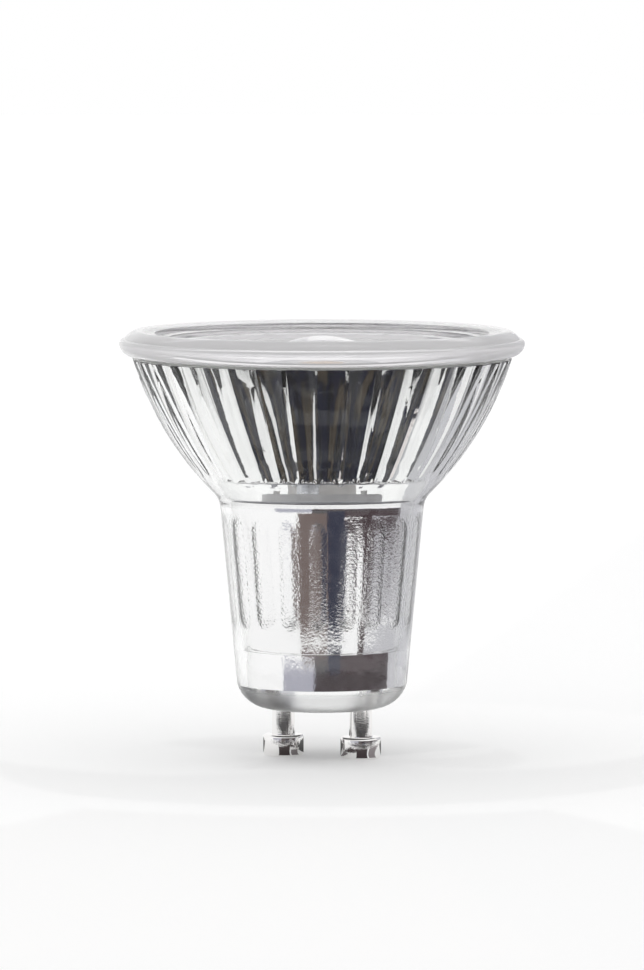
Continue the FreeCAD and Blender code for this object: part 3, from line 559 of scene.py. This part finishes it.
# The stage is a white floor under an even white sky. Cards lie and stand round the bulb, as round
# glass and metal need something to mirror: dark tones in front, lilac on the left and grey on the
# right. They show only in gloss and through glass.

facing = math.radians(17)


def laid(name, sheet, colour):
    """A finished sheet of the stage."""
    mesh = bpy.data.meshes.new(name)
    sheet.to_mesh(mesh)
    sheet.free()
    card = bpy.data.objects.new(name, mesh)
    bpy.context.scene.collection.objects.link(card)
    card.data.materials.append(finish(f"{name}_paper", Base_Color=(*colour, 1), Roughness=0.9))
    return card


def fan(name, near, far, near_span, far_span, colour, low=0.4, high=0.4, centre=0.0):
    """A card round the bulb: its reach in millimetres, its spans in degrees right of the camera."""
    sheet = bmesh.new()
    bmesh.ops.create_grid(sheet, x_segments=32, y_segments=12, size=1)
    for vert in sheet.verts:
        across, out = (vert.co.x + 1) / 2, (vert.co.y + 1) / 2
        first = near_span[0] + (far_span[0] - near_span[0]) * out
        last = near_span[1] + (far_span[1] - near_span[1]) * out
        turn = facing - math.pi / 2 + math.radians(first + (last - first) * across)
        reach = (near + (far - near) * out) / 1000
        height = (low + (high - low) * out) / 1000
        vert.co = centre + reach * math.cos(turn), reach * math.sin(turn), height
    return laid(name, sheet, colour)


floor_sheet = bmesh.new()
bmesh.ops.create_circle(floor_sheet, cap_ends=True, radius=3, segments=96)
floor = laid("floor", floor_sheet, (0.9, 0.9, 0.9))
paper = floor.data.materials[0]
nodes, links = paper.node_tree.nodes, paper.node_tree.links
path = nodes.new("ShaderNodeLightPath")
seen = combined(paper, "MAXIMUM", path.outputs["Is Camera Ray"], path.outputs["Is Glossy Ray"])
seen = combined(paper, "MAXIMUM", seen, path.outputs["Is Transmission Ray"])
nodes["Principled BSDF"].inputs["Emission Color"].default_value = (1, 1, 1, 1)
lift = combined(paper, "MULTIPLY", seen, 0.12)
links.new(lift, nodes["Principled BSDF"].inputs["Emission Strength"])

room_black = (0.02, 0.02, 0.022)
room_red = (0.035, 0.014, 0.02)
pin_red = (0.03, 0.012, 0.014)
pin_black = (0.08, 0.08, 0.08)
warm_grey = (0.3, 0.27, 0.28)
cool_grey = (0.55, 0.55, 0.58)
lilac = (0.45, 0.45, 0.52)
left, right = -pin_offset, pin_offset
cards = [
    fan("near_card", 16.5, 40, (-20, 34), (-84, 92), room_black),
    fan("near_round_card", 40, 47, (-84, 92), (-40, 66), room_black),
    fan("left_pin_card", 2.8, 14, (-16, 24), (-27, 39), pin_red, 0.03, 0.2, left),
    fan("left_pin_grey_card", 2.8, 7, (30, 60), (37, 75), warm_grey, 0.03, 0.1, left),
    fan("left_pin_back_card", 2.8, 20, (125, 235), (125, 235), pin_black, 0.03, 0.3, left),
    fan("right_pin_card", 2.8, 14, (-16, 24), (-27, 39), pin_red, 0.03, 0.2, right),
    fan("right_pin_grey_card", 2.8, 20, (30, 60), (57, 120), warm_grey, 0.03, 0.3, right),
    fan("right_pin_back_card", 2.8, 20, (125, 235), (125, 235), pin_black, 0.03, 0.3, right),
    fan("left_glint_card", 33, 40, (-36, -30), (-36, -30), (0.9, 0.9, 0.9), 0.8, 0.8),
    fan("right_glint_card", 40, 46, (44, 52), (44, 52), (0.9, 0.85, 0.84), 0.8, 0.8),
    fan("brown_card", 56, 160, (-30, 8), (-30, 8), (0.15, 0.11, 0.1)),
    fan("navy_card", 56, 400, (8, 28), (8, 28), (0.01, 0.013, 0.04)),
    fan("maroon_card", 56, 104, (53, 64), (53, 64), (0.03, 0.008, 0.012)),
    fan("grey_card", 60, 118, (64, 170), (64, 170), cool_grey),
    fan("lilac_card", 190, 400, (-60, -12), (-60, -12), lilac),
    fan("far_card", 104, 400, (28, 64), (28, 64), room_red),
    fan("far_right_card", 118, 400, (64, 114), (64, 114), room_red),
    fan("far_brown_card", 160, 400, (-12, 8), (-12, 8), (0.06, 0.06, 0.065)),
    fan("far_grey_card", 118, 400, (114, 170), (114, 170), cool_grey),
    fan("standing_card", 400, 400, (-12, 114), (-12, 114), (0.06, 0.045, 0.05), 0, 60),
    fan("lilac_standing_card", 400, 400, (-60, -12), (-60, -12), lilac, 0, 60),
    fan("grey_standing_card", 400, 400, (114, 170), (114, 170), (0.62, 0.62, 0.65), 0, 300),
]
black, navy, olive = (0.01, 0.01, 0.01), (0.014, 0.015, 0.035), (0.075, 0.06, 0.045)
for near in cards[:2]:
    dark_paper = near.data.materials[0]
    graded(
        dark_paper, "Base Color", noise(dark_paper, 160, 3),
        [(0.36, (0.004, 0.004, 0.006)), (0.46, navy), (0.52, black), (0.6, olive)],
    )
for card in cards:
    card.visible_camera = False
    card.visible_diffuse = False
    card.visible_shadow = False

sky = bpy.data.worlds.new("studio")
bpy.context.scene.world = sky
sky.use_nodes = True
sky.node_tree.nodes["Background"].inputs["Color"].default_value = (1, 1, 1, 1)
sky.node_tree.nodes["Background"].inputs["Strength"].default_value = 1.0

camera = bpy.data.objects.new("camera", bpy.data.cameras.new("camera"))
bpy.context.scene.collection.objects.link(camera)
distance = 0.8
camera.location = (distance * math.sin(facing), -distance * math.cos(facing), 0.1005)
aim = Vector((0, 0, 0.0337)) - camera.location
camera.rotation_euler = aim.to_track_quat("-Z", "Y").to_euler()
camera.data.sensor_width = 36
camera.data.lens = 241.5
bpy.context.scene.camera = camera
bpy.context.scene.view_settings.view_transform = "Standard"
